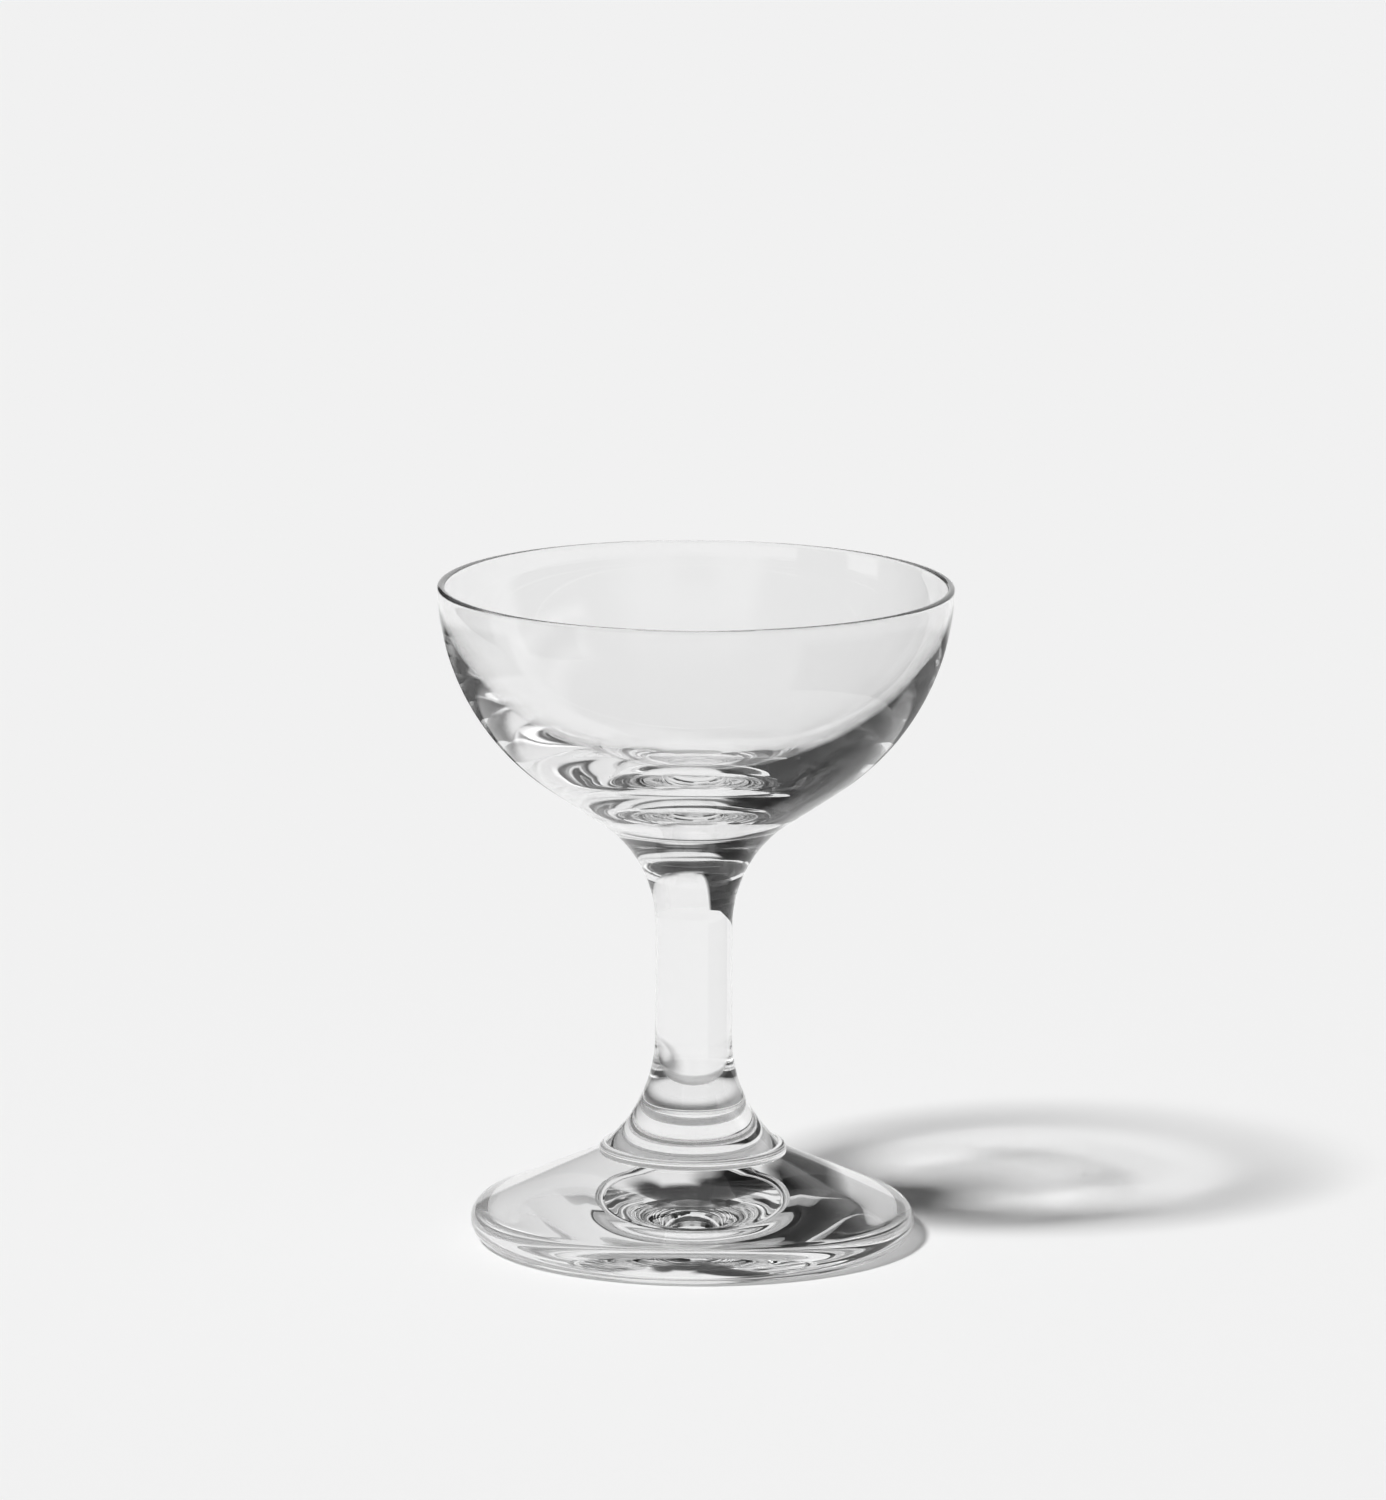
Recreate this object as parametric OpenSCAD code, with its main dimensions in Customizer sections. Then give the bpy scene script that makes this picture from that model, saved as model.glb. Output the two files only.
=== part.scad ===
// Liqueur glass: a small footed coupe in clear glass, made hot from four
// separate gathers (bowl, stem, collar and foot) that are fused at flat seams.
// Every piece is turned about the Z axis, and the foot stands on Z = 0.

/* [Bowl] */
// Outside diameter of the rim
rim_diameter = 66; // [58:0.5:74]
// Height of the bowl, from its seam on the stem to the top of the lip
bowl_height = 35.2; // [32:0.1:40]
// Wall thickness at the fully rounded lip
lip_wall = 1; // [0.8:0.1:2]
// Height of the centre of the bowl's outer curve above the middle of the lip
bowl_centre_rise = 0.9; // [0:0.1:2]
// Glass between the seam and the inside of the bowl, on the axis
base_thickness = 8.5; // [6:0.1:12]

/* [Neck] */
// Slope of the straight neck under the bowl, in degrees from level
neck_slope = 34.3; // [30:0.1:38]
// Radius of the hollow curve that leads from the stem to the neck
neck_radius = 16.5; // [14:0.1:19]
// Distance below the bowl's seam at which the stem starts to widen
neck_drop = 9.1; // [6:0.1:11]

/* [Stem] */
// Diameter of the straight part of the stem
stem_diameter = 9.9; // [7:0.1:12]
// Length of the stem, from the collar to the bowl's seam
stem_length = 37.4; // [30:0.1:60]
// Radius of the hollow curve that leads from the stem to its flared end
flare_radius = 19; // [14:0.1:24]

/* [Collar] */
// Diameter of the joining collar, and of the foot's seat under it
collar_diameter = 24; // [20:0.1:30]
// Thickness of the joining collar
collar_thickness = 1.2; // [1:0.1:2]
// Radius of the round on the collar's upper edge
collar_round = 0.8; // [0.3:0.1:1]
// Width of the flat ledge on the collar around the stem's flared end
collar_ledge = 0.2; // [0.1:0.1:1]

/* [Foot] */
// Diameter of the foot
foot_diameter = 57; // [50:0.5:68]
// Height of the foot's seat for the collar
foot_height = 11.4; // [9:0.1:14]
// Thickness of the foot's fully rounded edge
foot_edge = 5; // [3:0.1:7]
// Width of the flat ring that the foot stands on
land_width = 1.4; // [1:0.1:4]
// Depth of the domed hollow under the foot, on the axis
hollow_depth = 3.8; // [1:0.1:5]

/* [Hidden] */

// Colourless glass, as it shows against a pale wall
glass_colour = [0.88, 0.90, 0.90, 0.45];
// Greatest distance between a curve and the straight steps drawn for it
curve_tolerance = 0.01;
// Steps in the elliptical inside of the bowl
inside_steps = 40;
// Steps around the axis
$fn = 160;

// Levels of the three seams and of the lip
collar_base = foot_height;
stem_base = collar_base + collar_thickness;
seam_level = stem_base + stem_length;
lip_level = seam_level + bowl_height - lip_wall / 2;
inside_level = seam_level + base_thickness;

rim_radius = rim_diameter / 2;
stem_radius = stem_diameter / 2;
foot_radius = foot_diameter / 2;

// The collar sits flush on the foot, and the stem on the flat inside its rounded edge
collar_radius = collar_diameter / 2;
flare_base_radius = collar_radius - collar_round - collar_ledge;

// Hollow curve at the bottom of the stem
flare_centre_x = stem_radius + flare_radius;
flare_height = sqrt(pow(flare_radius, 2) - pow(flare_centre_x - flare_base_radius, 2));
flare_centre = [flare_centre_x, stem_base + flare_height];

// Hollow curve at the top of the stem, which carries on above the seam
neck_centre = [stem_radius + neck_radius, seam_level - neck_drop];
seam_angle = 180 - asin(neck_drop / neck_radius);
neck_end = neck_centre + neck_radius * [-sin(neck_slope), cos(neck_slope)];

// Outer curve of the bowl: as wide as the rim, and tangent to the straight neck
bowl_centre_level = lip_level + bowl_centre_rise;
bowl_reach = cos(neck_slope) * (bowl_centre_level - neck_end[1]) - sin(neck_slope) * (rim_radius - neck_end[0]);
bowl_radius = bowl_reach / (1 - sin(neck_slope));
bowl_centre = [rim_radius - bowl_radius, bowl_centre_level];
bowl_lip_angle = -asin(bowl_centre_rise / bowl_radius);
lip_outer_radius = bowl_centre[0] + bowl_radius * cos(bowl_lip_angle);
lip_inner_radius = lip_outer_radius - lip_wall;

// Edge of the foot, which the cone from the collar's seat runs into
edge_radius = foot_edge / 2;
edge_centre = [foot_radius - edge_radius, edge_radius];
foot_seat = [collar_radius, foot_height];
edge_top_angle = direction(edge_centre, foot_seat) - touching(edge_centre, edge_radius, foot_seat);

// Hollow under the foot: a dome that starts at the standing ring
land_inner = [edge_centre[0] - land_width, 0];
hollow_radius = (pow(land_inner[0], 2) + pow(hollow_depth, 2)) / (2 * hollow_depth);
hollow_centre = [0, hollow_depth - hollow_radius];

// Angle of the line from one point to another
function direction(from, to) = atan2(to[1] - from[1], to[0] - from[0]);

// Points along an arc, near enough together to keep to the tolerance
function arc(centre, radius, start, end) =
    let (step = 2 * acos(1 - curve_tolerance / radius))
    let (steps = max(2, ceil(abs(end - start) / step)))
    [for (i = [0:steps]) let (a = start + (end - start) * i / steps) centre + radius * [cos(a), sin(a)]];

// Angle at a circle's centre between a point outside it and where a line from that point touches it
function touching(centre, radius, point) = acos(radius / norm(point - centre));

// A piece turned about the Z axis from half of its outline
module turned(outline) {
    color(glass_colour)
    rotate_extrude()
    polygon(outline);
}

// Bowl: thick base and neck below, an even curve outside, an ellipse inside
module bowl() {
    inside = [for (i = [1:inside_steps]) let (a = 90 * i / inside_steps)
        [lip_inner_radius * cos(a), lip_level - (lip_level - inside_level) * sin(a)]];
    lip_centre = [lip_outer_radius - lip_wall / 2, lip_level];
    lip = arc(lip_centre, lip_wall / 2, 0, 180);
    outside = arc(bowl_centre, bowl_radius, neck_slope - 90, bowl_lip_angle);
    // The lip starts at the outside curve's last point
    outside_below_lip = [for (i = [0:len(outside) - 2]) outside[i]];
    turned(concat(
        [[0, seam_level]],
        arc(neck_centre, neck_radius, seam_angle, neck_slope + 90),
        outside_below_lip,
        lip,
        inside
    ));
}

// Stem: solid, with a hollow curve at each end
module stem() {
    turned(concat(
        [[0, stem_base]],
        arc(flare_centre, flare_radius, direction(flare_centre, [flare_base_radius, stem_base]) + 360, 180),
        arc(neck_centre, neck_radius, 180, seam_angle),
        [[0, seam_level]]
    ));
}

// Collar: the flat wafer between stem and foot, with its upper edge rounded
module collar() {
    round_centre = [collar_radius - collar_round, stem_base - collar_round];
    turned(concat(
        [[0, collar_base], [collar_radius, collar_base]],
        arc(round_centre, collar_round, 0, 90),
        [[0, stem_base]]
    ));
}

// Foot: low cone with a thick rounded edge, domed hollow below, standing on a flat ring
module foot() {
    dome = arc(hollow_centre, hollow_radius, 90, direction(hollow_centre, land_inner));
    // The dome ends in the plane of the standing ring
    dome_above_ring = [for (i = [0:len(dome) - 2]) dome[i]];
    turned(concat(
        dome_above_ring,
        [land_inner],
        arc(edge_centre, edge_radius, -90, edge_top_angle),
        [foot_seat, [0, foot_height]]
    ));
}

bowl();
stem();
collar();
foot();
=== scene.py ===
"""Liqueur glass: a small footed coupe of clear glass, on a pale studio floor.

The four gathers that the real glass is fused from (bowl, stem, collar and foot) are each turned about
Z from an outline in millimetres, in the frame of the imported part, and stand for its nodes.
"""

import logging
import math
from abc import ABC, abstractmethod
from dataclasses import dataclass
from enum import Enum
from typing import Any, ClassVar

import bpy
from mathutils import Matrix, Vector


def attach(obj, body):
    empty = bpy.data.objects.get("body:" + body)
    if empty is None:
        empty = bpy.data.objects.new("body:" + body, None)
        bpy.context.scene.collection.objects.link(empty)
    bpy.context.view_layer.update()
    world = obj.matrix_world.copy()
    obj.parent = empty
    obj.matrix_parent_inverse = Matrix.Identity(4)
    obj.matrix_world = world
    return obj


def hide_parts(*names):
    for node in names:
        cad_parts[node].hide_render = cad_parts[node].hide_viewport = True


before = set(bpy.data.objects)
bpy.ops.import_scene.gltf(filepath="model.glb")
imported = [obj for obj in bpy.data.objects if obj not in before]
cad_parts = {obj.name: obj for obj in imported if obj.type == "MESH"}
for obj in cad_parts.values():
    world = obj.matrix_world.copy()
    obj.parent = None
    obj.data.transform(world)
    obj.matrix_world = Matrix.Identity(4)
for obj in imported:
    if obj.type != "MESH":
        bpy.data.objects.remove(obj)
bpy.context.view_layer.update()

MM = 0.001
BODY = "root"

Point = tuple[float, float]
log = logging.getLogger("liqueur_glass")


def add_node(tree: bpy.types.NodeTree, kind: str, inputs: dict[str | int, Any] | None = None,
             **settings: Any) -> bpy.types.Node:
    """Adds a node, with its settings, and sets or links its inputs.

    Args:
        tree: The tree that gets the node.
        kind: The node's type name.
        inputs: A value, or an output socket to link, for each input by name or index.
        **settings: Properties of the node itself.

    Returns:
        The new node.
    """
    node = tree.nodes.new(kind)
    for name, value in settings.items():
        setattr(node, name, value)
    for key, value in (inputs or {}).items():
        if isinstance(value, bpy.types.NodeSocket):
            tree.links.new(value, node.inputs[key])
        else:
            node.inputs[key].default_value = value
    return node


def empty_material(name: str) -> bpy.types.Material:
    """Makes a material whose node tree is still empty.

    Args:
        name: Name of the material.

    Returns:
        The material.
    """
    material = bpy.data.materials.new(name)
    material.use_nodes = True
    material.node_tree.nodes.clear()
    return material


def linear(colour: str) -> tuple[float, float, float, float]:
    """Turns an sRGB hex colour into linear red, green, blue and an alpha of 1.

    Args:
        colour: Six hex digits after a hash sign.

    Returns:
        The colour as a shader socket takes it.
    """
    parts = [int(colour[i:i + 2], 16) / 255 for i in (1, 3, 5)]
    red, green, blue = [p / 12.92 if p <= 0.04045 else ((p + 0.055) / 1.055) ** 2.4 for p in parts]
    return red, green, blue, 1.0


def arc(centre: Point, radius: float, start: float, end: float, step: float = 2.0) -> list[Point]:
    """Gives points along an arc.

    Args:
        centre: The arc's centre, as radius and height in millimetres.
        radius: The arc's own radius in millimetres.
        start: Angle of the first point in degrees, from outwards towards up.
        end: Angle of the last point in degrees.
        step: Greatest turn between two points in degrees.

    Returns:
        The points from start to end.
    """
    count = max(2, math.ceil(abs(end - start) / step))
    angles = [math.radians(start + (end - start) * i / count) for i in range(count + 1)]
    return [(centre[0] + radius * math.cos(a), centre[1] + radius * math.sin(a)) for a in angles]


def direction(start: Point, end: Point) -> float:
    """Gives the angle of the line from one point to another, in degrees."""
    return math.degrees(math.atan2(end[1] - start[1], end[0] - start[0]))


def touching(centre: Point, radius: float, point: Point) -> float:
    """Gives the angle at a circle's centre between a point and where its line touches the circle."""
    return math.degrees(math.acos(radius / math.dist(centre, point)))


def straight(start: Point, end: Point, count: int) -> list[Point]:
    """Gives points along a straight line, with both ends.

    Args:
        start: The first point.
        end: The last point.
        count: How many steps the line is cut into.

    Returns:
        The points from start to end.
    """
    shares = [i / count for i in range(count + 1)]
    return [(start[0] + (end[0] - start[0]) * s, start[1] + (end[1] - start[1]) * s) for s in shares]


def around(azimuth: float, elevation: float) -> Vector:
    """Gives the direction at an azimuth from straight behind the glass and an elevation, in degrees."""
    a, e = math.radians(azimuth), math.radians(elevation)
    return Vector((math.sin(a) * math.cos(e), math.cos(a) * math.cos(e), math.sin(e)))


@dataclass(frozen=True)
class ClearGlass:
    """Colourless soda-lime glass, worked hot and fire polished.

    The skin is glossy, sways very gently where the tool touched it, carries a trace of handling, and is
    rubbed dull on the standing ring. Lamp light goes straight on through the foot and the thin wall,
    because the renderer's caustics alone leave their shadows too dark.

    Attributes:
        tint: Colour of the light that comes through.
        ior: How strongly the glass bends light.
        smear_mm: Size of a smear.
        smear_detail: Layers of finer noise in a smear.
        smear_breakup: How strong those layers are.
        smear_span: Noise values at which a smear starts and is at its worst.
        smear_roughness: Roughness of a smear at its worst.
        wear_mm: Size of a scratch on the standing ring.
        wear_height_mm: Height at which the scratches end.
        wear_roughness: Greatest roughness of the standing ring.
        striae_mm: Distance from one wave in the skin to the next.
        striae_detail: Layers of finer noise in the waves.
        striae_depth_mm: Depth of the waves.
        foot_fade_mm: Heights between which the foot stops passing lamp light.
        foot_passes: Share of the lamp light that a skin of the foot passes.
        wall_fade_mm: Heights between which the bowl's wall gets thin enough to pass lamp light.
        graze_blend: How soon lamp light is lost as it comes in at a slant.
    """

    tint: str = "#FCFCFC"
    ior: float = 1.52
    smear_mm: float = 14.0
    smear_detail: float = 3.0
    smear_breakup: float = 0.6
    smear_span: tuple[float, float] = (0.5, 0.8)
    smear_roughness: float = 0.012
    wear_mm: float = 0.35
    wear_height_mm: float = 0.5
    wear_roughness: float = 0.3
    striae_mm: float = 7.0
    striae_detail: float = 1.0
    striae_depth_mm: float = 0.004
    foot_fade_mm: tuple[float, float] = (9.5, 11.3)
    foot_passes: float = 0.65
    wall_fade_mm: tuple[float, float] = (61.0, 66.0)
    graze_blend: float = 0.2

    def build(self) -> bpy.types.Material:
        """Makes the material.

        Returns:
            The glass, ready for a piece.
        """
        material = empty_material("soda_lime_glass_fire_polished")
        tree = material.node_tree
        place = add_node(tree, "ShaderNodeTexCoord").outputs["Object"]
        # Handling leaves soft smears a finger wide, only just less glossy than clean glass
        smear = add_node(tree, "ShaderNodeTexNoise", {
            "Vector": place, "Scale": 1 / (self.smear_mm * MM), "Detail": self.smear_detail,
            "Roughness": self.smear_breakup})
        smeared = add_node(tree, "ShaderNodeMapRange", {
            "Value": smear.outputs["Fac"], "From Min": self.smear_span[0], "From Max": self.smear_span[1],
            "To Max": self.smear_roughness})
        # Tables rub fine dull scratches into the ring that the foot stands on
        grit = add_node(tree, "ShaderNodeTexNoise", {"Vector": place, "Scale": 1 / (self.wear_mm * MM)})
        height = add_node(tree, "ShaderNodeSeparateXYZ", {"Vector": place}).outputs["Z"]
        low = add_node(tree, "ShaderNodeMapRange", {
            "Value": height, "From Min": 0.0, "From Max": self.wear_height_mm * MM,
            "To Min": self.wear_roughness, "To Max": 0.0})
        roughness = add_node(tree, "ShaderNodeMath", {
            0: grit.outputs["Fac"], 1: low.outputs["Result"], 2: smeared.outputs["Result"]},
            operation="MULTIPLY_ADD")
        # Hot working leaves striae: shallow waves in the skin that bend what is seen through it
        striae = add_node(tree, "ShaderNodeTexNoise", {
            "Vector": place, "Scale": 1 / (self.striae_mm * MM), "Detail": self.striae_detail})
        bump = add_node(tree, "ShaderNodeBump", {"Strength": 1.0, "Distance": self.striae_depth_mm * MM,
                                                 "Height": striae.outputs["Fac"]})
        shader = add_node(tree, "ShaderNodeBsdfPrincipled", {
            "Base Color": linear(self.tint), "IOR": self.ior, "Transmission Weight": 1.0,
            "Roughness": roughness.outputs["Value"], "Normal": bump.outputs["Normal"]})
        # Lamp light goes straight on through the foot and the thin wall, less where it grazes the skin
        graze = add_node(tree, "ShaderNodeLayerWeight", {"Blend": self.graze_blend}).outputs["Facing"]
        foot = add_node(tree, "ShaderNodeMapRange", {
            "Value": height, "From Min": self.foot_fade_mm[0] * MM, "From Max": self.foot_fade_mm[1] * MM,
            "To Min": self.foot_passes, "To Max": 0.0})
        wall = add_node(tree, "ShaderNodeMapRange", {
            "Value": height, "From Min": self.wall_fade_mm[0] * MM, "From Max": self.wall_fade_mm[1] * MM})
        thin = add_node(tree, "ShaderNodeMath", {0: foot.outputs["Result"], 1: wall.outputs["Result"]},
                        operation="MAXIMUM")
        kept = add_node(tree, "ShaderNodeMath", {0: 1.0, 1: graze}, operation="SUBTRACT")
        passed = add_node(tree, "ShaderNodeMath", {0: kept.outputs["Value"], 1: thin.outputs["Value"]},
                          operation="MULTIPLY")
        open_to_lamp = add_node(tree, "ShaderNodeBsdfTransparent", {"Color": passed.outputs["Value"]})
        lamp_ray = add_node(tree, "ShaderNodeLightPath").outputs["Is Shadow Ray"]
        surface = add_node(tree, "ShaderNodeMixShader", {0: lamp_ray, 1: shader.outputs["BSDF"],
                                                         2: open_to_lamp.outputs["BSDF"]})
        add_node(tree, "ShaderNodeOutputMaterial", {"Surface": surface.outputs["Shader"]})
        return material


@dataclass(frozen=True)
class FusedSeam:
    """The inside of a hot joint, where two gathers have become one glass.

    There is no skin left there, so light goes straight on and the eye sees nothing.
    """

    clear: str = "#FFFFFF"
    ior: float = 1.0

    def build(self) -> bpy.types.Material:
        """Makes the material.

        Returns:
            The seam, ready for the flat faces inside a joint.
        """
        material = empty_material("fused_glass_seam")
        tree = material.node_tree
        shader = add_node(tree, "ShaderNodeBsdfPrincipled", {
            "Base Color": linear(self.clear), "IOR": self.ior, "Transmission Weight": 1.0,
            "Roughness": 0.0})
        add_node(tree, "ShaderNodeOutputMaterial", {"Surface": shader.outputs["BSDF"]})
        return material


@dataclass(frozen=True)
class StudioPaper:
    """Matt background paper: an even pale grey without gloss."""

    colour: str = "#F1F1F1"

    def build(self) -> bpy.types.Material:
        """Makes the material.

        Returns:
            The paper, ready for the floor.
        """
        material = empty_material("matt_background_paper")
        tree = material.node_tree
        shader = add_node(tree, "ShaderNodeBsdfDiffuse", {"Color": linear(self.colour)})
        add_node(tree, "ShaderNodeOutputMaterial", {"Surface": shader.outputs["BSDF"]})
        return material


@dataclass(frozen=True)
class OutlinePoint:
    """One point of a turned outline, in millimetres.

    Attributes:
        radius: Distance from the axis.
        height: Height above the floor.
        seam: Whether the point lies on the flat face of a fused joint.
        sway: How much of the hand-worked waviness it takes, from 0 to 1.
    """

    radius: float
    height: float
    seam: bool = False
    sway: float = 1.0


class TurningTree:
    """Geometry Nodes that turn an outline about Z into one closed piece of slightly wavy glass."""

    INPUTS = (("Outline", "NodeSocketGeometry"), ("Outline Points", "NodeSocketInt"),
              ("Steps Around", "NodeSocketInt"), ("Wave Height", "NodeSocketFloat"),
              ("Wave Length", "NodeSocketFloat"), ("Seed", "NodeSocketFloat"),
              ("Glass", "NodeSocketMaterial"), ("Seam", "NodeSocketMaterial"))
    SEAM = "seam"
    SWAY = "sway"
    AXIS = (0.0, 0.0, 1.0)
    WAVE_DETAIL = 1.0
    MERGE_MM = 0.001
    CREASE_DEGREES = 9.0
    ALL_ON_SEAM = 0.999

    def __init__(self) -> None:
        """Makes the tree with its named inputs."""
        self.tree = bpy.data.node_groups.new("turned_glass", "GeometryNodeTree")
        self.identifiers: dict[str, str] = {}
        for name, kind in self.INPUTS:
            socket = self.tree.interface.new_socket(name, in_out="INPUT", socket_type=kind)
            self.identifiers[name] = socket.identifier
        self.tree.interface.new_socket("Piece", in_out="OUTPUT", socket_type="NodeSocketGeometry")
        self._link()

    def _link(self) -> None:
        """Adds the nodes: grid, turning, waves, merging, creases and materials."""
        tree = self.tree
        given = add_node(tree, "NodeGroupInput").outputs
        columns = add_node(tree, "ShaderNodeMath", {0: given["Steps Around"], 1: 1.0}, operation="ADD")
        grid = add_node(tree, "GeometryNodeMeshGrid", {"Vertices X": columns.outputs[0],
                                                       "Vertices Y": given["Outline Points"]})
        index = add_node(tree, "GeometryNodeInputIndex").outputs["Index"]
        row = add_node(tree, "ShaderNodeMath", {0: index, 1: given["Outline Points"]},
                       operation="MODULO")
        turns = add_node(tree, "ShaderNodeMath", {0: index, 1: given["Outline Points"]},
                         operation="DIVIDE")
        column = add_node(tree, "ShaderNodeMath", {0: turns.outputs[0]}, operation="FLOOR")
        share = add_node(tree, "ShaderNodeMath", {0: column.outputs[0], 1: given["Steps Around"]},
                         operation="DIVIDE")
        angle = add_node(tree, "ShaderNodeMath", {0: share.outputs[0], 1: 2 * math.pi},
                         operation="MULTIPLY")
        # The outline's place and sway are looked up by row, then turned to the column's angle
        position = add_node(tree, "GeometryNodeInputPosition").outputs["Position"]
        place = add_node(tree, "GeometryNodeSampleIndex", {
            "Geometry": given["Outline"], "Value": position, "Index": row.outputs[0]},
            data_type="FLOAT_VECTOR")
        turned = add_node(tree, "ShaderNodeVectorRotate", {
            "Vector": place.outputs["Value"], "Axis": self.AXIS, "Angle": angle.outputs[0]})
        drawn = add_node(tree, "GeometryNodeInputNamedAttribute", {"Name": self.SWAY},
                         data_type="FLOAT_VECTOR")
        sway = add_node(tree, "GeometryNodeSampleIndex", {
            "Geometry": given["Outline"], "Value": drawn.outputs["Attribute"], "Index": row.outputs[0]},
            data_type="FLOAT_VECTOR")
        inward = add_node(tree, "ShaderNodeVectorRotate", {
            "Vector": sway.outputs["Value"], "Axis": self.AXIS, "Angle": angle.outputs[0]})
        # Waves only ever go into the glass, so that no piece grows past its solid
        scale = add_node(tree, "ShaderNodeMath", {0: 1.0, 1: given["Wave Length"]}, operation="DIVIDE")
        noise = add_node(tree, "ShaderNodeTexNoise", {
            "Vector": turned.outputs["Vector"], "W": given["Seed"], "Scale": scale.outputs[0],
            "Detail": self.WAVE_DETAIL}, noise_dimensions="4D")
        depth = add_node(tree, "ShaderNodeMath", {0: noise.outputs[0], 1: given["Wave Height"]},
                         operation="MULTIPLY")
        wave = add_node(tree, "ShaderNodeVectorMath", {"Vector": inward.outputs["Vector"],
                                                       "Scale": depth.outputs[0]}, operation="SCALE")
        formed = add_node(tree, "GeometryNodeSetPosition", {
            "Geometry": grid.outputs["Mesh"], "Position": turned.outputs["Vector"],
            "Offset": wave.outputs["Vector"]})
        marked = add_node(tree, "GeometryNodeInputNamedAttribute", {"Name": self.SEAM},
                          data_type="FLOAT")
        seam = add_node(tree, "GeometryNodeSampleIndex", {
            "Geometry": given["Outline"], "Value": marked.outputs["Attribute"], "Index": row.outputs[0]},
            data_type="FLOAT")
        stored = add_node(tree, "GeometryNodeStoreNamedAttribute", {
            "Geometry": formed.outputs["Geometry"], "Name": self.SEAM, "Value": seam.outputs["Value"]},
            data_type="FLOAT", domain="POINT")
        closed = add_node(tree, "GeometryNodeMergeByDistance", {"Geometry": stored.outputs["Geometry"],
                                                                "Distance": self.MERGE_MM * MM})
        smooth = add_node(tree, "GeometryNodeSetShadeSmooth", {"Geometry": closed.outputs["Geometry"],
                                                               "Shade Smooth": True}, domain="FACE")
        fold = add_node(tree, "GeometryNodeInputMeshEdgeAngle").outputs["Unsigned Angle"]
        crease = add_node(tree, "FunctionNodeCompare", {0: fold, 1: math.radians(self.CREASE_DEGREES)},
                          data_type="FLOAT", operation="GREATER_THAN")
        creased = add_node(tree, "GeometryNodeSetShadeSmooth", {
            "Geometry": smooth.outputs["Geometry"], "Selection": crease.outputs["Result"],
            "Shade Smooth": False}, domain="EDGE")
        real = add_node(tree, "GeometryNodeRealizeInstances", {"Geometry": creased.outputs["Geometry"]})
        glazed = add_node(tree, "GeometryNodeSetMaterial", {"Geometry": real.outputs["Geometry"],
                                                            "Material": given["Glass"]})
        # A face belongs to a seam when all its corners do
        on_seam = add_node(tree, "GeometryNodeInputNamedAttribute", {"Name": self.SEAM},
                           data_type="FLOAT")
        whole = add_node(tree, "FunctionNodeCompare", {
            0: on_seam.outputs["Attribute"], 1: self.ALL_ON_SEAM}, data_type="FLOAT",
            operation="GREATER_THAN")
        joined = add_node(tree, "GeometryNodeSetMaterial", {
            "Geometry": glazed.outputs["Geometry"], "Selection": whole.outputs["Result"],
            "Material": given["Seam"]})
        add_node(tree, "NodeGroupOutput", {"Piece": joined.outputs["Geometry"]})

    def turn(self, name: str, outline: list[OutlinePoint], steps_around: int, wave_height_mm: float,
             wave_length_mm: float, seed: float, glass: bpy.types.Material,
             seam: bpy.types.Material) -> bpy.types.Object:
        """Turns an outline into a plain mesh object.

        Args:
            name: Name of the object and its mesh.
            outline: The outline from the axis below, round the outside, to the axis above.
            steps_around: Steps around the axis.
            wave_height_mm: Greatest depth of the waviness.
            wave_length_mm: Distance from one wave to the next.
            seed: Which pattern of waves.
            glass: Material of the skin.
            seam: Material of the flat faces inside a joint.

        Returns:
            The finished object, at the origin.
        """
        piece = bpy.data.objects.new(name, self._outline_mesh(name, outline))
        bpy.context.scene.collection.objects.link(piece)
        modifier = piece.modifiers.new("turning", "NODES")
        modifier.node_group = self.tree
        values = {"Outline Points": len(outline), "Steps Around": steps_around,
                  "Wave Height": wave_height_mm * MM, "Wave Length": wave_length_mm * MM, "Seed": seed,
                  "Glass": glass, "Seam": seam}
        for key, value in values.items():
            modifier[self.identifiers[key]] = value
        depsgraph = bpy.context.evaluated_depsgraph_get()
        mesh = bpy.data.meshes.new_from_object(piece.evaluated_get(depsgraph), depsgraph=depsgraph)
        piece.modifiers.remove(modifier)
        drawn = piece.data
        piece.data = mesh
        bpy.data.meshes.remove(drawn)
        mesh.name = name
        mesh.attributes.remove(mesh.attributes[self.SEAM])
        return piece

    def _outline_mesh(self, name: str, outline: list[OutlinePoint]) -> bpy.types.Mesh:
        """Draws an outline as a line of vertices that carry their seam mark and inward sway.

        Args:
            name: Name of the piece.
            outline: The outline's points.

        Returns:
            The line, in the XZ plane.
        """
        mesh = bpy.data.meshes.new(name + "_outline")
        places = [(p.radius * MM, 0.0, p.height * MM) for p in outline]
        mesh.from_pydata(places, [(i, i + 1) for i in range(len(places) - 1)], [])
        seams = mesh.attributes.new(self.SEAM, "FLOAT", "POINT")
        seams.data.foreach_set("value", [float(p.seam) for p in outline])
        sways = mesh.attributes.new(self.SWAY, "FLOAT_VECTOR", "POINT")
        inward = [self._inward(outline, i) for i in range(len(outline))]
        sways.data.foreach_set("vector", [c for way in inward for c in way])
        return mesh

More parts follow.
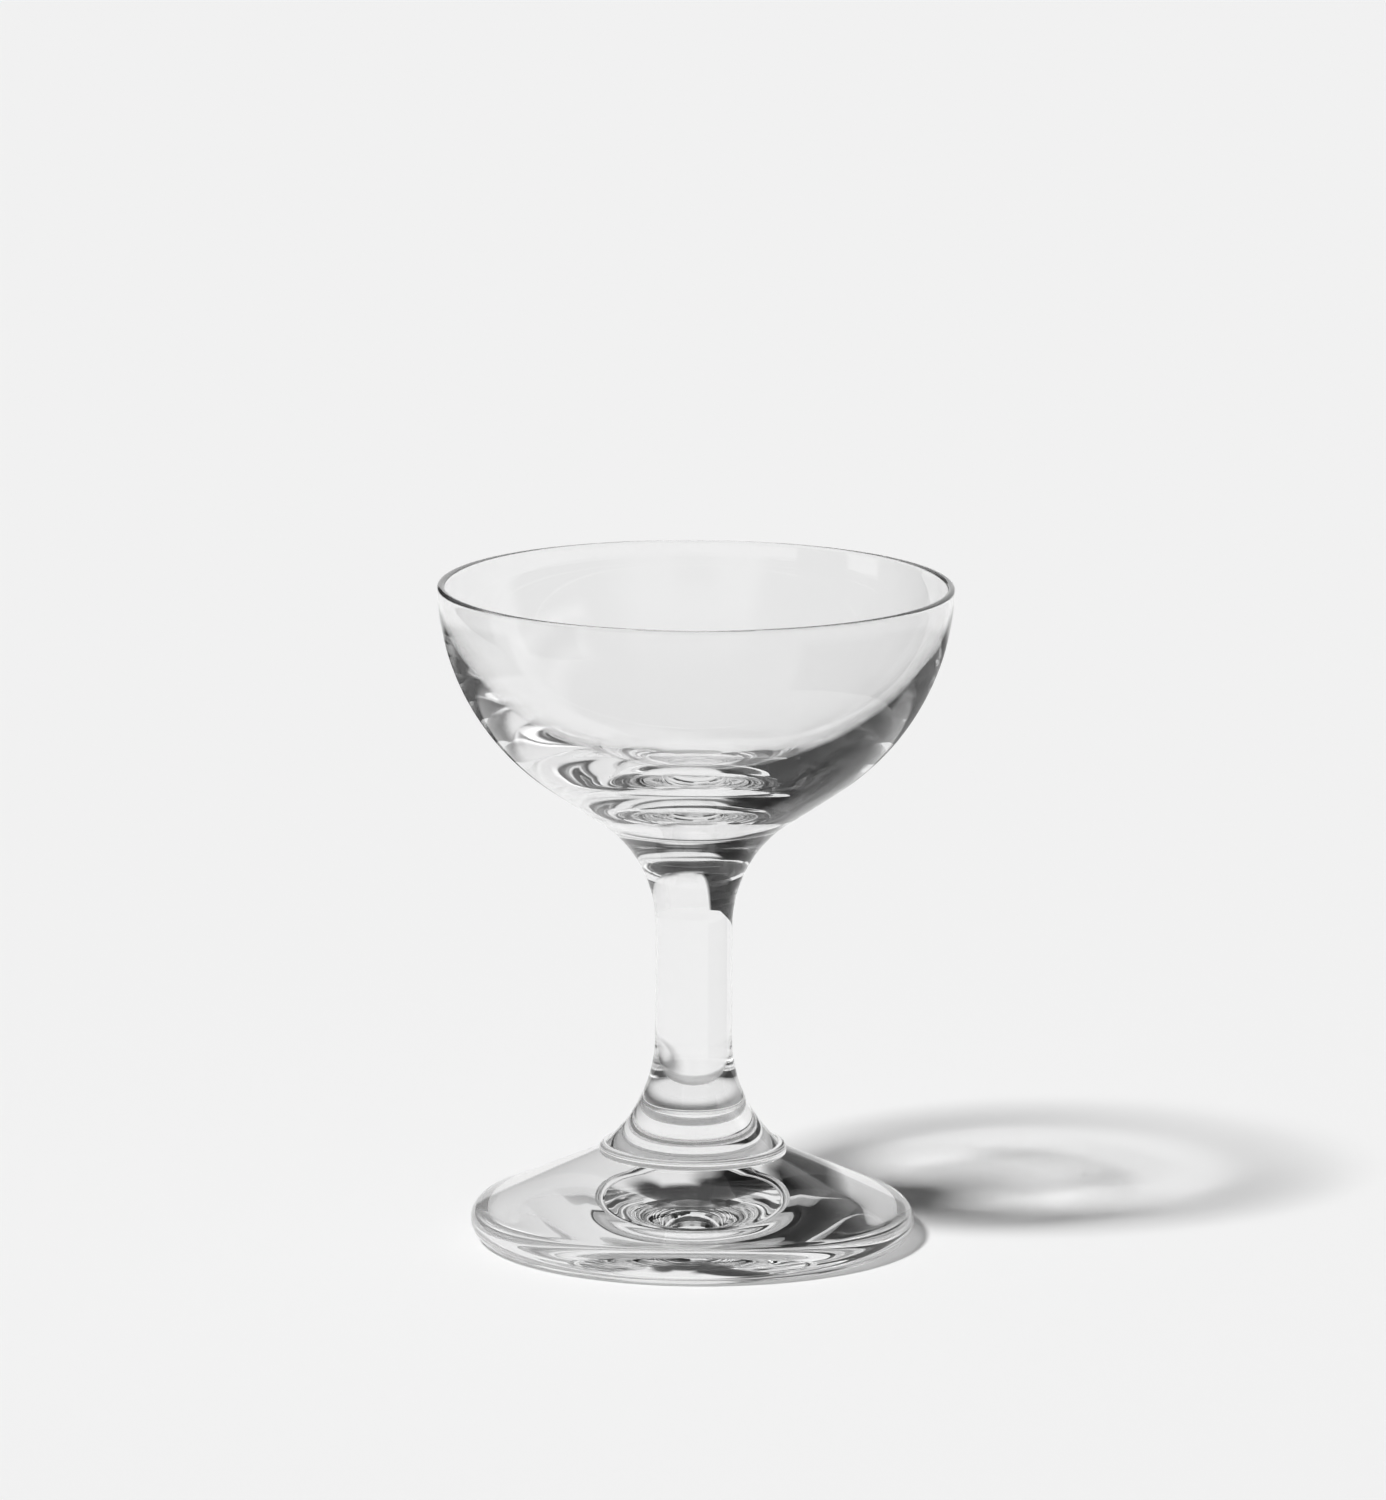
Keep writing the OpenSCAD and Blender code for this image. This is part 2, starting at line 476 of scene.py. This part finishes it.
    @staticmethod
    def _inward(outline: list[OutlinePoint], i: int) -> Vector:
        """Gives the way into the glass at a point, as long as the point's sway.

        Args:
            outline: The outline's points.
            i: Which point.

        Returns:
            The direction in the XZ plane, or nothing inside a joint.
        """
        here = outline[i]
        before = outline[max(i - 1, 0)]
        after = outline[min(i + 1, len(outline) - 1)]
        before = here if before.seam else before
        after = here if after.seam else after
        along = Vector((after.radius - before.radius, 0.0, after.height - before.height))
        if along.length == 0.0:
            return along
        if here.radius == 0.0:
            along = Vector((math.copysign(1.0, along.x), 0.0, 0.0))
        return Vector((-along.z, 0.0, along.x)).normalized() * here.sway


@dataclass
class TurnedPiece(ABC):
    """A gather of glass that is turned about Z and stands for one node.

    The pieces hold their sizes in millimetres and their angles in degrees.

    Attributes:
        node: The node that the piece stands for.
        steps_around: Steps around the axis.
        wave_height_mm: Greatest depth of the hand-worked waviness.
        wave_length_mm: Distance from one wave to the next.
        seed: Which pattern of waves; pieces that meet share it.
        seam_gap_mm: How far a joint's face is set back, so that light meets the two faces one by one.
    """

    node: str = ""
    steps_around: int = 256
    wave_height_mm: float = 0.05
    wave_length_mm: float = 15.0
    seed: float = 4.0
    seam_gap_mm: float = 0.005

    @abstractmethod
    def outline(self) -> list[OutlinePoint]:
        """Gives the outline from the axis below, round the outside, to the axis above."""

    def build(self, turning: TurningTree, glass: bpy.types.Material,
              seam: bpy.types.Material) -> bpy.types.Object:
        """Turns the piece and puts it in its node's place.

        Args:
            turning: The tree that turns outlines.
            glass: Material of the skin.
            seam: Material of the flat faces inside a joint.

        Returns:
            The piece, riding on the part.
        """
        piece = turning.turn(self.node + "_glass", self.outline(), self.steps_around,
                             self.wave_height_mm, self.wave_length_mm, self.seed, glass, seam)
        piece.cycles.is_caustics_caster = True
        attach(piece, BODY)
        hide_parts(self.node)
        return piece


def disc(radius: float, height: float, outwards: bool, count: int = 12) -> list[OutlinePoint]:
    """Gives the flat face of a joint.

    Args:
        radius: Radius of the face.
        height: Its level.
        outwards: Whether the points run from the axis outwards, or from the edge inwards.
        count: Steps between axis and edge.

    Returns:
        The face's points, with its edge.
    """
    points = [OutlinePoint(r, h, seam=True) for r, h in straight((0.0, height), (radius, height), count)]
    return points if outwards else points[::-1]


@dataclass
class Bowl(TurnedPiece):
    """The bowl: heavy base and straight neck below, an even curve outside, an ellipse inside."""

    node: str = "bowl"
    seam_level: float = 50.0
    rim_diameter: float = 66.0
    height: float = 35.2
    lip_wall: float = 1.0
    centre_rise: float = 0.9
    base_thickness: float = 8.5
    neck_slope: float = 34.3
    neck_radius: float = 16.5
    neck_drop: float = 9.1
    stem_diameter: float = 9.9
    neck_steps: int = 4
    lip_step: float = 6.0
    inside_steps: int = 70

    def outline(self) -> list[OutlinePoint]:
        """Gives the outline: seam, neck, outside, lip and inside."""
        slope = math.radians(self.neck_slope)
        neck = (self.stem_diameter / 2 + self.neck_radius, self.seam_level - self.neck_drop)
        seam_angle = 180 - math.degrees(math.asin(self.neck_drop / self.neck_radius))
        hollow = arc(neck, self.neck_radius, seam_angle, self.neck_slope + 90)
        lip_level = self.seam_level + self.height - self.lip_wall / 2
        centre_level = lip_level + self.centre_rise
        rim = self.rim_diameter / 2
        # The outside is as wide as the rim, and runs straight on from the neck
        rise, run = centre_level - hollow[-1][1], rim - hollow[-1][0]
        radius = (math.cos(slope) * rise - math.sin(slope) * run) / (1 - math.sin(slope))
        centre = (rim - radius, centre_level)
        lip_angle = -math.degrees(math.asin(self.centre_rise / radius))
        outside = arc(centre, radius, self.neck_slope - 90, lip_angle)
        lip_outer = outside[-1][0]
        lip = arc((lip_outer - self.lip_wall / 2, lip_level), self.lip_wall / 2, 0, 180, self.lip_step)
        width, depth = lip_outer - self.lip_wall, lip_level - self.seam_level - self.base_thickness
        angles = [math.radians(90 * i / self.inside_steps) for i in range(1, self.inside_steps)]
        inside = [(width * math.cos(a), lip_level - depth * math.sin(a)) for a in angles]
        upper_neck = straight(hollow[-1], outside[0], self.neck_steps)[1:-1]
        skin = hollow[1:] + upper_neck + outside[:-1] + lip + inside
        points = [OutlinePoint(r, h) for r, h in skin]
        bottom = disc(hollow[0][0], self.seam_level + self.seam_gap_mm, True)
        return bottom + points + [OutlinePoint(0.0, lip_level - depth)]


@dataclass
class Stem(TurnedPiece):
    """The stem: solid, with a hollow curve at each end."""

    node: str = "stem"
    base_level: float = 12.6
    seam_level: float = 50.0
    diameter: float = 9.9
    flare_radius: float = 19.0
    flare_base_radius: float = 11.0
    neck_radius: float = 16.5
    neck_drop: float = 9.1
    calm_height: float = 6.0
    shaft_steps: int = 24

    def outline(self) -> list[OutlinePoint]:
        """Gives the outline: lower seam, flare, shaft, neck and upper seam."""
        flare_x = self.diameter / 2 + self.flare_radius
        rise = math.sqrt(self.flare_radius ** 2 - (flare_x - self.flare_base_radius) ** 2)
        flare = (flare_x, self.base_level + rise)
        base = (self.flare_base_radius, self.base_level)
        seam_angle = 180 - math.degrees(math.asin(self.neck_drop / self.neck_radius))
        neck = (self.diameter / 2 + self.neck_radius, self.seam_level - self.neck_drop)
        bottom = arc(flare, self.flare_radius, direction(flare, base) + 360, 180)
        top = arc(neck, self.neck_radius, 180, seam_angle)
        shaft = straight(bottom[-1], top[0], self.shaft_steps)[1:-1]
        # The waviness sets in above the collar, so that the two pieces meet
        points = [OutlinePoint(r, h, sway=min(1.0, (h - self.base_level) / self.calm_height))
                  for r, h in bottom[1:] + shaft + top[:-1]]
        below = disc(base[0], self.base_level + self.seam_gap_mm, True)
        return below + points + disc(top[-1][0], self.seam_level - self.seam_gap_mm, False)


@dataclass
class Collar(TurnedPiece):
    """The collar: the flat wafer between stem and foot, with its upper edge rounded."""

    node: str = "collar"
    base_level: float = 11.4
    thickness: float = 1.2
    diameter: float = 24.0
    round_radius: float = 0.8
    flare_base_radius: float = 11.0
    round_step: float = 5.0

    def outline(self) -> list[OutlinePoint]:
        """Gives the outline: lower seam, rounded edge, ledge and upper seam."""
        radius, top = self.diameter / 2, self.base_level + self.thickness
        centre = (radius - self.round_radius, top - self.round_radius)
        edge = arc(centre, self.round_radius, 0, 90, self.round_step)
        points = [OutlinePoint(r, h, sway=0.0) for r, h in edge]
        below = disc(radius, self.base_level + self.seam_gap_mm, True)
        return below + points + disc(self.flare_base_radius, top - self.seam_gap_mm, False)


@dataclass
class Foot(TurnedPiece):
    """The foot: a low cone with a thick rounded edge, hollow below, standing on a flat ring."""

    node: str = "foot"
    diameter: float = 57.0
    height: float = 11.4
    edge: float = 5.0
    seat_radius: float = 12.0
    land_width: float = 1.4
    hollow_depth: float = 3.8
    calm_height: float = 1.0
    calm_width: float = 3.0
    dome_step: float = 0.4
    edge_step: float = 4.0
    land_steps: int = 3
    cone_steps: int = 24

    def outline(self) -> list[OutlinePoint]:
        """Gives the outline: hollow, standing ring, edge, cone and seam."""
        radius = self.edge / 2
        edge = (self.diameter / 2 - radius, radius)
        seat = (self.seat_radius, self.height)
        land = (edge[0] - self.land_width, 0.0)
        dome_radius = (land[0] ** 2 + self.hollow_depth ** 2) / (2 * self.hollow_depth)
        dome_centre = (0.0, self.hollow_depth - dome_radius)
        top_angle = direction(edge, seat) - touching(edge, radius, seat)
        dome = arc(dome_centre, dome_radius, 90, direction(dome_centre, land), self.dome_step)
        turn = arc(edge, radius, -90, top_angle, self.edge_step)
        ring = straight(land, turn[0], self.land_steps)[:-1]
        cone = straight(turn[-1], seat, self.cone_steps)[1:-1]
        skin = [(0.0, self.hollow_depth)] + dome[1:-1] + ring + turn + cone
        points = [OutlinePoint(r, h, sway=self._sway(r, h)) for r, h in skin]
        return points + disc(seat[0], self.height - self.seam_gap_mm, False)

    def _sway(self, radius: float, height: float) -> float:
        """Gives the share of waviness at a point: none on the standing ring and at the seat.

        Args:
            radius: The point's distance from the axis.
            height: Its height above the floor.

        Returns:
            The share, from 0 to 1.
        """
        off_floor = min(1.0, height / self.calm_height)
        from_seat = math.dist((radius, height), (self.seat_radius, self.height))
        return off_floor * min(1.0, from_seat / self.calm_width)


class CardTone(Enum):
    """How bright a studio card looks in the glass, where 1 is white."""

    BLACK = 0.005
    DARK = 0.04
    DIM = 0.08
    SHADE = 0.3
    GREY = 0.6
    LIGHT = 0.85
    SOFTBOX = 1.8


class CardShow(Enum):
    """Where a studio card shows in the glass."""

    BOTH = "both"
    MIRRORED = "mirrored"
    THROUGH = "through"


# Which edges of a card are faded: its sides, its lower edge, its upper edge
SIDES_AND_TOP = (True, False, True)
ALL_EDGES = (True, True, True)
LOWER_EDGE = (False, True, False)


@dataclass(frozen=True)
class StudioCard:
    """A soft-edged card around the glass, which only shows in the glass.

    Attributes:
        name: Name of the card.
        tone: How bright it is.
        azimuth: Its two sides in degrees, from straight behind the glass towards the right.
        elevation: Its lower and upper edge in degrees above the floor.
        softness: Width of its faded edges in degrees.
        distance: How far from the glass it stands, in metres.
        fades: Whether its sides, its lower and its upper edge are faded.
        lean: How many degrees its right side is drawn in at the bottom.
        shows: Whether it shows as a reflection, through the glass, or both.
    """

    COLUMNS: ClassVar[int] = 48
    ROWS: ClassVar[int] = 24
    COVER: ClassVar[str] = "cover"

    name: str
    tone: CardTone
    azimuth: tuple[float, float]
    elevation: tuple[float, float]
    softness: float = 12.0
    distance: float = 2.0
    fades: tuple[bool, bool, bool] = SIDES_AND_TOP
    lean: float = 0.0
    shows: CardShow = CardShow.BOTH

    def build(self) -> None:
        """Makes the card as a sheet with faded edges, and marks it as stage."""
        places, covers = [], []
        for i in range(self.COLUMNS + 1):
            for j in range(self.ROWS + 1):
                right = self.azimuth[1] - self.lean * (1 - j / self.ROWS)
                a = self.azimuth[0] + (right - self.azimuth[0]) * i / self.COLUMNS
                e = self.elevation[0] + (self.elevation[1] - self.elevation[0]) * j / self.ROWS
                places.append(self._place(a, e))
                covers.append(self._cover(a, e, right))
        step = self.ROWS + 1
        corners = [i * step + j for i in range(self.COLUMNS) for j in range(self.ROWS)]
        mesh = bpy.data.meshes.new(self.name)
        mesh.from_pydata(places, [], [(k, k + step, k + step + 1, k + 1) for k in corners])
        cover = mesh.attributes.new(self.COVER, "FLOAT", "POINT")
        cover.data.foreach_set("value", covers)
        mesh.materials.append(self._material())
        card = bpy.data.objects.new(self.name, mesh)
        bpy.context.scene.collection.objects.link(card)
        card.visible_camera = False
        card.visible_diffuse = False
        card.visible_shadow = False
        card.visible_glossy = self.shows is not CardShow.THROUGH
        card.visible_transmission = self.shows is not CardShow.MIRRORED

    def _place(self, azimuth: float, elevation: float) -> Vector:
        """Gives where the card is in a direction: all of it at the same distance."""
        return around(azimuth, elevation) * self.distance

    def _cover(self, azimuth: float, elevation: float, right: float) -> float:
        """Gives how solid the card is at a point, from 0 at its edge to 1.

        Args:
            azimuth: The point's azimuth in degrees.
            elevation: The point's elevation in degrees.
            right: Azimuth of the card's right side at that elevation.

        Returns:
            The cover, which rises smoothly over the faded edges.
        """
        edges = ((azimuth - self.azimuth[0], self.fades[0]), (right - azimuth, self.fades[0]),
                 (elevation - self.elevation[0], self.fades[1]),
                 (self.elevation[1] - elevation, self.fades[2]))
        inside = min((distance for distance, fades in edges if fades), default=self.softness)
        share = min(1.0, max(0.0, inside / self.softness))
        return share * share * (3 - 2 * share)

    def _material(self) -> bpy.types.Material:
        """Makes the card's evenly lit cloth, which fades away at the edges.

        Returns:
            The material.
        """
        material = empty_material(self.name + "_cloth")
        tree = material.node_tree
        cover = add_node(tree, "ShaderNodeAttribute", attribute_name=self.COVER).outputs["Fac"]
        clear = add_node(tree, "ShaderNodeBsdfTransparent").outputs["BSDF"]
        lit = add_node(tree, "ShaderNodeEmission", {"Strength": self.tone.value}).outputs["Emission"]
        mixed = add_node(tree, "ShaderNodeMixShader", {0: cover, 1: clear, 2: lit})
        add_node(tree, "ShaderNodeOutputMaterial", {"Surface": mixed.outputs["Shader"]})
        return material


@dataclass(frozen=True)
class StandingFlag(StudioCard):
    """A straight upright card, which hides the floor behind it.

    Attributes:
        facing: Azimuth in degrees at which it comes nearest to the glass, at its distance.
    """

    shows: CardShow = CardShow.THROUGH
    facing: float = -115.3

    def _place(self, azimuth: float, elevation: float) -> Vector:
        """Gives where the straight card is in a direction."""
        away = self.distance / math.cos(math.radians(azimuth - self.facing))
        ray = around(azimuth, elevation)
        return ray * (away / math.hypot(ray.x, ray.y))


@dataclass(frozen=True)
class PaintedLightPool(StudioCard):
    """A glowing card on the floor under the foot: a painted pool of light, standing for the lamp light that
    stem and foot gather there.

    Attributes:
        lift: How far above the floor it lies, in metres.
    """

    lift: float = 0.0002

    def _place(self, azimuth: float, elevation: float) -> Vector:
        """Gives a point of the pool, whose edge is where the elevation is nothing."""
        reach, a = self.distance * (1 - elevation / 90), math.radians(azimuth)
        return Vector((reach * math.sin(a), reach * math.cos(a), self.lift))


@dataclass
class Studio:
    """Floor, lamp, cards and surroundings: a pale sweep under plain soft light.

    Attributes:
        paper: Finish of the floor, which the surroundings match.
        floor_radius: Radius of the floor in metres.
        floor_sides: Sides of the floor, which is nearly round.
        key_azimuth: Where the lamp stands, in degrees from straight behind the glass towards the right.
        key_elevation: The lamp's height in degrees.
        key_width: How wide the lamp looks from the glass, in degrees.
        key_share: The lamp's share of the light on the floor; the surroundings give the rest.
        soft_light: Colour of the light from the surroundings.
        bounces: How many skins of glass and reflections light is followed through.
        cards: The cards that show in the glass.
    """

    paper: StudioPaper = StudioPaper()
    floor_radius: float = 40.0
    floor_sides: int = 96
    key_azimuth: float = -131.0
    key_elevation: float = 52.5
    key_width: float = 9.0
    key_share: float = 0.9
    soft_light: str = "#FFFFFF"
    bounces: int = 32
    cards: tuple[StudioCard, ...] = (
        StudioCard("ceiling", CardTone.DARK, (-180.0, 180.0), (28.0, 90.0), distance=2.3,
                   fades=LOWER_EDGE),
        StudioCard("room_right", CardTone.DIM, (74.0, 160.0), (0.0, 50.0), distance=2.2),
        StudioCard("room_front", CardTone.GREY, (128.0, 232.0), (0.0, 60.0), distance=2.1,
                   softness=30.0),
        StudioCard("room_left", CardTone.DIM, (-155.0, -78.0), (0.0, 50.0)),
        StudioCard("camera_stand", CardTone.SHADE, (166.0, 194.0), (0.0, 24.0), distance=1.75),
        StudioCard("screen_right", CardTone.LIGHT, (24.0, 90.0), (0.0, 40.0), distance=2.1),
        StudioCard("dark_backdrop", CardTone.BLACK, (-92.0, -2.0), (0.0, 45.0), distance=1.9,
                   softness=3.0, lean=13.0),
        # The gap between the two flags keeps the middle of the bowl clear in the view from the right
        StandingFlag("dark_flag_front", CardTone.BLACK, (-130.0, -98.0), (0.0, 45.0), distance=0.16,
                     softness=3.0),
        StandingFlag("dark_flag_back", CardTone.BLACK, (-82.0, -28.0), (0.0, 45.0), distance=0.16,
                     softness=3.0),
        StudioCard("window", CardTone.LIGHT, (-5.0, 18.0), (18.0, 48.0), distance=1.8, softness=8.0,
                   fades=ALL_EDGES),
        StudioCard("edge_flag_left", CardTone.BLACK, (-100.0, -11.0), (9.0, 30.0), distance=0.12,
                   softness=3.0, fades=ALL_EDGES, shows=CardShow.MIRRORED),
        StudioCard("edge_flag_right", CardTone.SHADE, (14.0, 100.0), (9.0, 30.0), distance=0.12,
                   softness=3.0, fades=ALL_EDGES, shows=CardShow.MIRRORED),
        StudioCard("edge_flag_front", CardTone.DIM, (60.0, 140.0), (0.0, 30.0), distance=0.125,
                   softness=6.0, shows=CardShow.MIRRORED),
        StudioCard("softbox", CardTone.SOFTBOX, (60.0, 125.0), (20.0, 38.0), distance=1.8,
                   fades=ALL_EDGES),
        # Painted pool of light under the foot: a glowing disc that shows only in the glass
        PaintedLightPool("painted_light_pool", CardTone.LIGHT, (-180.0, 180.0), (0.0, 90.0), distance=0.016,
                      softness=40.0, fades=LOWER_EDGE),
    )

    def build(self) -> None:
        """Lays the floor, lights it, and sets the cards and the surroundings."""
        self._floor()
        self._key()
        self._surroundings()
        for card in self.cards:
            card.build()
        scene = bpy.context.scene
        scene.view_settings.view_transform = "Standard"
        # Light goes through many skins of glass before it gets out
        scene.cycles.max_bounces = self.bounces
        scene.cycles.transmission_bounces = self.bounces
        scene.cycles.glossy_bounces = self.bounces
        scene.cycles.transparent_max_bounces = self.bounces
        scene.cycles.use_denoising = True

    def _floor(self) -> None:
        """Lays a round sheet of paper under the glass."""
        mesh = bpy.data.meshes.new("floor")
        angles = [2 * math.pi * i / self.floor_sides for i in range(self.floor_sides)]
        corners = [(self.floor_radius * math.cos(a), self.floor_radius * math.sin(a), 0.0) for a in angles]
        mesh.from_pydata(corners, [], [list(range(self.floor_sides))])
        mesh.materials.append(self.paper.build())
        floor = bpy.data.objects.new("floor", mesh)
        floor.cycles.is_caustics_receiver = True
        bpy.context.scene.collection.objects.link(floor)

    def _key(self) -> None:
        """Hangs the lamp, as strong as its share of the floor's light needs."""
        lamp = bpy.data.lights.new("key", "SUN")
        lamp.angle = math.radians(self.key_width)
        lamp.energy = self.key_share * math.pi / math.sin(math.radians(self.key_elevation))
        lamp.cycles.is_caustics_light = True
        key = bpy.data.objects.new("key", lamp)
        towards_lamp = around(self.key_azimuth, self.key_elevation)
        key.rotation_euler = towards_lamp.to_track_quat("Z", "Y").to_euler()
        bpy.context.scene.collection.objects.link(key)

    def _surroundings(self) -> None:
        """Gives the world the paper's tone where it is seen, and soft light where it isn't."""
        world = bpy.data.worlds.new("studio")
        world.use_nodes = True
        bpy.context.scene.world = world
        tree = world.node_tree
        tree.nodes.clear()
        path = add_node(tree, "ShaderNodeLightPath").outputs
        seen = add_node(tree, "ShaderNodeMath", {0: path["Is Camera Ray"], 1: path["Is Glossy Ray"]},
                        operation="ADD")
        shown = add_node(tree, "ShaderNodeMath", {0: seen.outputs[0], 1: path["Is Transmission Ray"]},
                         operation="ADD", use_clamp=True)
        light = add_node(tree, "ShaderNodeBackground", {
            "Color": linear(self.soft_light), "Strength": 1 - self.key_share})
        pale = add_node(tree, "ShaderNodeBackground", {"Color": linear(self.paper.colour)})
        both = add_node(tree, "ShaderNodeMixShader", {
            0: shown.outputs[0], 1: light.outputs["Background"], 2: pale.outputs["Background"]})
        add_node(tree, "ShaderNodeOutputWorld", {"Surface": both.outputs["Shader"]})


@dataclass(frozen=True)
class PortraitCamera:
    """A long lens a metre and a half away, looking slightly down.

    Attributes:
        place_mm: Where the camera stands.
        pitch: How far it looks down, in degrees.
        roll: How far it leans to the left, in degrees.
        lens_mm: Focal length.
        sensor_mm: Height of the sensor, which takes in the whole picture.
        sight_m: How far the camera sees.
    """

    place_mm: tuple[float, float, float] = (-0.27, -1502.9, 355.57)
    pitch: float = 10.99
    roll: float = 0.333
    lens_mm: float = 288.0
    sensor_mm: float = 36.0
    sight_m: float = 200.0

    def build(self) -> None:
        """Sets the camera up and makes it the scene's own."""
        data = bpy.data.cameras.new("portrait")
        data.sensor_fit = "VERTICAL"
        data.sensor_height = self.sensor_mm
        data.lens = self.lens_mm
        data.clip_end = self.sight_m
        camera = bpy.data.objects.new("portrait", data)
        tilt = Matrix.Rotation(math.radians(90 - self.pitch), 4, "X")
        roll = Matrix.Rotation(math.radians(self.roll), 4, "Z")
        camera.matrix_world = Matrix.Translation(Vector(self.place_mm) * MM) @ (tilt @ roll)
        bpy.context.scene.collection.objects.link(camera)
        bpy.context.scene.camera = camera


def main() -> None:
    """Builds the camera, the studio and the glass, and reports each piece."""
    logging.basicConfig(level=logging.INFO, format="%(name)s: %(message)s")
    PortraitCamera().build()
    Studio().build()
    turning = TurningTree()
    glass, seam = ClearGlass().build(), FusedSeam().build()
    for made in (Bowl(), Stem(), Collar(), Foot()):
        piece = made.build(turning, glass, seam)
        piece.data.calc_loop_triangles()
        log.info("%s stands for %s with %d triangles", piece.name, made.node, len(piece.data.loop_triangles))


if __name__ == "__main__":
    main()
